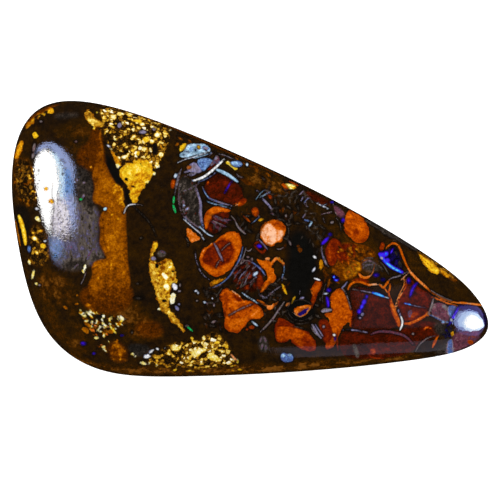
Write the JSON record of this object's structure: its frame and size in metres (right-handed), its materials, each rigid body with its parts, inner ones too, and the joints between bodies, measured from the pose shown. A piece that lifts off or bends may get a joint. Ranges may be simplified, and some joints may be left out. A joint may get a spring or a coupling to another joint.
{
  "type": "polished boulder opal cabochon",
  "caption": "Freeform teardrop cabochon of boulder opal with a low polished dome, a rounded girdle and a flat back, to lie on a surface or be set in jewellery.",
  "frame": {"origin": "on the flat back, under the middle of the stone's length and width", "axes": "+Z out of the polished face, +X from the broad end to the tip, +Y to the slanting upper edge"},
  "size_m": [0.038, 0.022, 0.0064],
  "materials": {
    "boulder_opal": "polished dark brown ironstone with ochre and golden sandy patches, orange and dark red nodules, pale veins and blue-violet opal; the back is ground matte"
  },
  "bodies": {
    "root": {"stone": "boulder_opal"}
  },
  "joints": []
}
